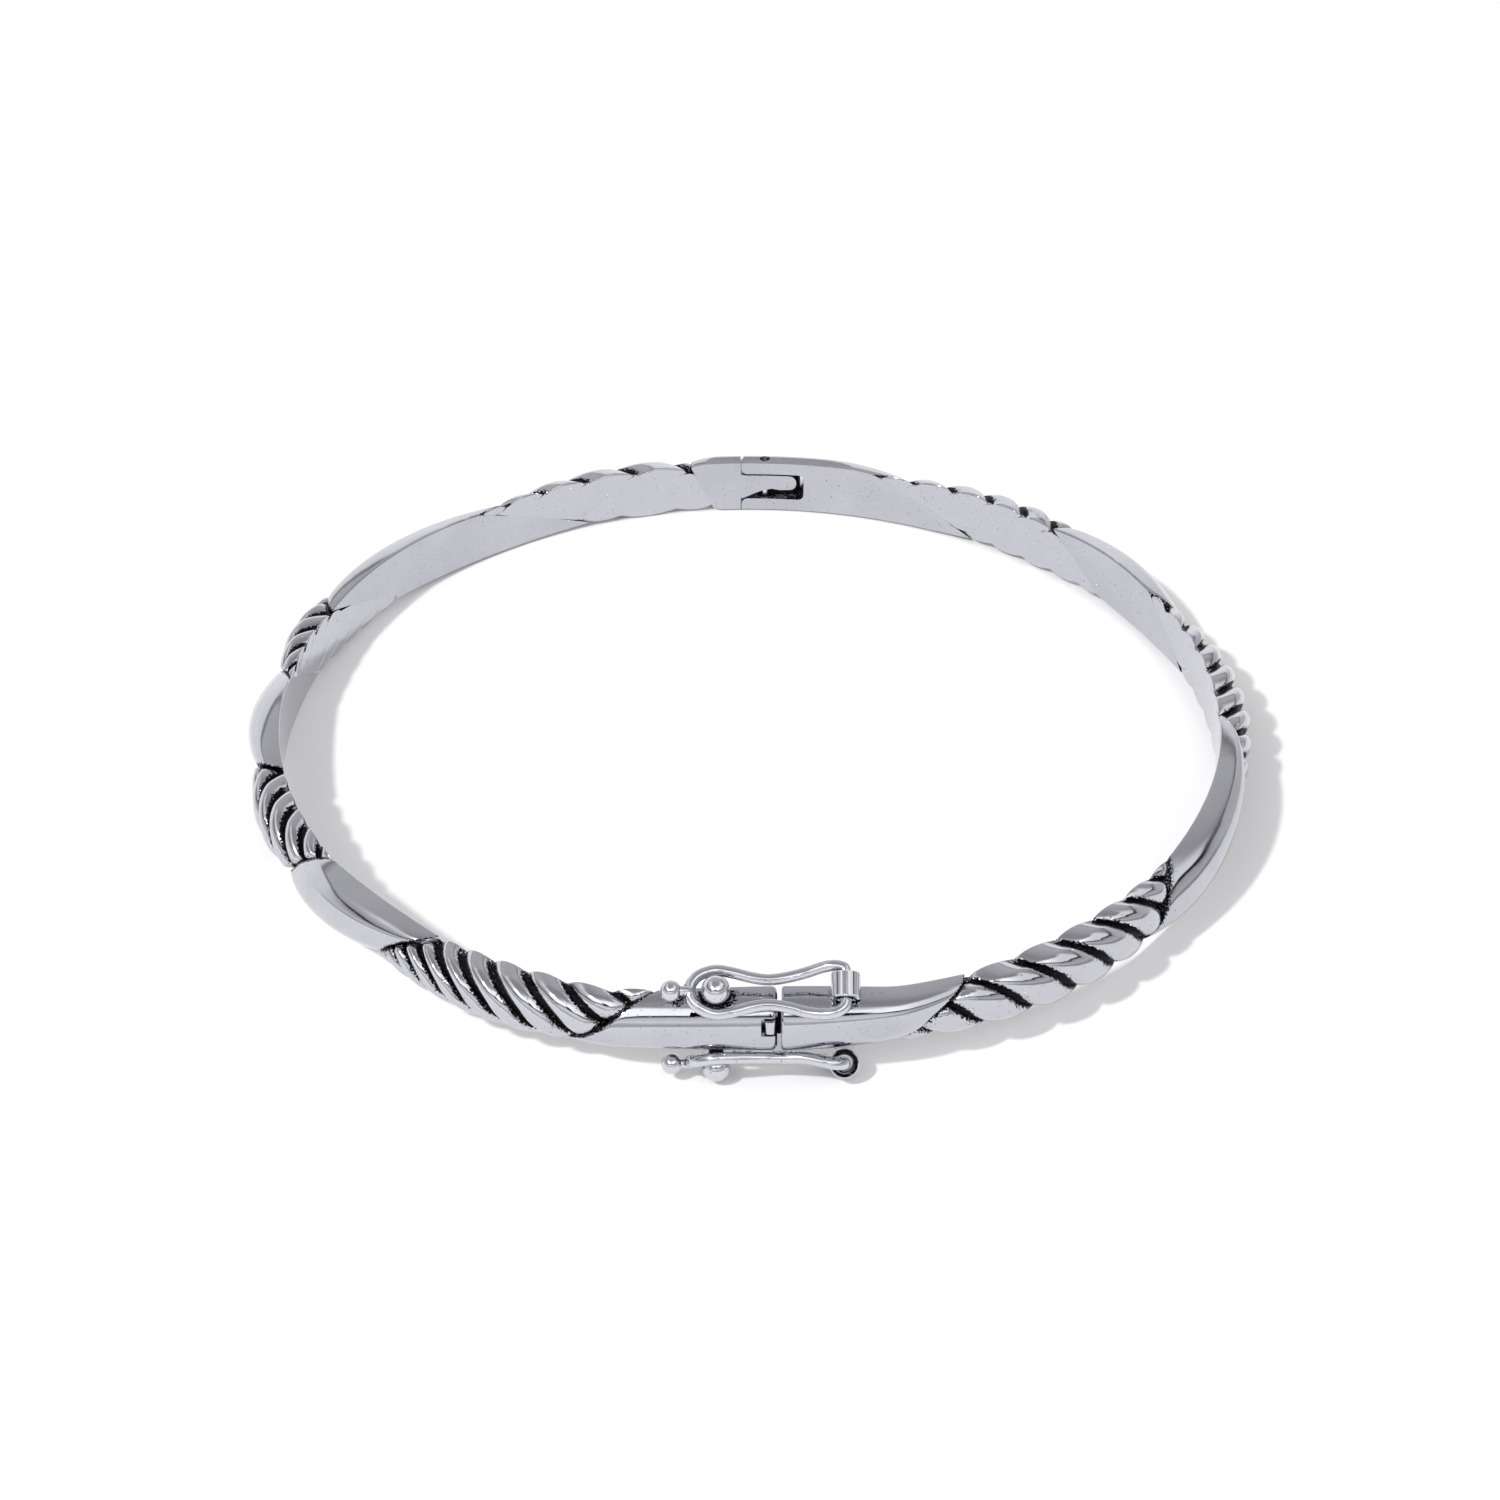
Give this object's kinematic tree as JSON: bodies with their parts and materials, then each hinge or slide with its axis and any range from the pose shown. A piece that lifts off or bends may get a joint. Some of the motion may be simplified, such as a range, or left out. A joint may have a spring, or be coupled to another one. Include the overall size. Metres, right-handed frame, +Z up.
{
  "type": "hinged bangle bracelet",
  "caption": "Oval-section hinged bangle of alternating smooth leaves and twisted rope, with a box clasp and figure-eight safety latches.",
  "frame": {"origin": "centre of the ring, halfway up the band", "axes": "+Z straight up through the ring, -Y towards the clasp, +Y towards the hinge, +X towards the half that carries the latches"},
  "size_m": [0.0623, 0.0615, 0.0078],
  "materials": {
    "polished_silver": "polished",
    "antiqued_rope_silver": "polished",
    "drawn_silver_wire": "polished",
    "rolled_silver_sheet": "satin"
  },
  "bodies": {
    "left_half": {"left_hinge_leaf": "polished_silver", "left_cable_back": "antiqued_rope_silver", "left_leaf_back": "polished_silver", "left_cable_side": "antiqued_rope_silver", "left_leaf_side": "polished_silver", "left_cable_low": "antiqued_rope_silver", "left_leaf_front": "polished_silver", "left_cable_front": "antiqued_rope_silver", "left_clasp_leaf": "polished_silver", "upper_catch_ball": "drawn_silver_wire", "lower_catch_ball": "drawn_silver_wire"},
    "right_half": {"right_hinge_leaf": "polished_silver", "right_cable_back": "antiqued_rope_silver", "right_leaf_back": "polished_silver", "right_cable_side": "antiqued_rope_silver", "right_leaf_side": "polished_silver", "right_cable_front": "antiqued_rope_silver", "right_clasp_leaf": "polished_silver", "hinge_pin": "drawn_silver_wire", "tongue_leaf": "rolled_silver_sheet", "upper_latch_tube": "drawn_silver_wire", "lower_latch_tube": "drawn_silver_wire"},
    "upper_latch": {"upper_latch": "drawn_silver_wire"},
    "lower_latch": {"lower_latch": "drawn_silver_wire"},
    "tongue_spring": {"tongue_spring": "rolled_silver_sheet"}
  },
  "joints": [
    {"name": "band_hinge", "type": "hinge", "parent": "left_half", "child": "right_half", "pos_m": [0.00102, 0.02965, 0], "axis": [0, 0, 1], "range_deg": [0, 60]},
    {"name": "upper_latch_lift", "type": "hinge", "parent": "right_half", "child": "upper_latch", "pos_m": [0.0053, -0.02921, 0.00262], "axis": [0, 0.7986, 0.6018], "range_deg": [0, 165]},
    {"name": "lower_latch_lift", "type": "hinge", "parent": "right_half", "child": "lower_latch", "pos_m": [0.0053, -0.02921, -0.00262], "axis": [0, -0.7986, 0.6018], "range_deg": [0, 165]},
    {"name": "tongue_press", "type": "hinge", "parent": "right_half", "child": "tongue_spring", "pos_m": [-0.0027, -0.02908, 0], "axis": [0, 0, 1], "range_deg": [0, 3], "stiffness_Nm_per_rad": 0.02}
  ]
}
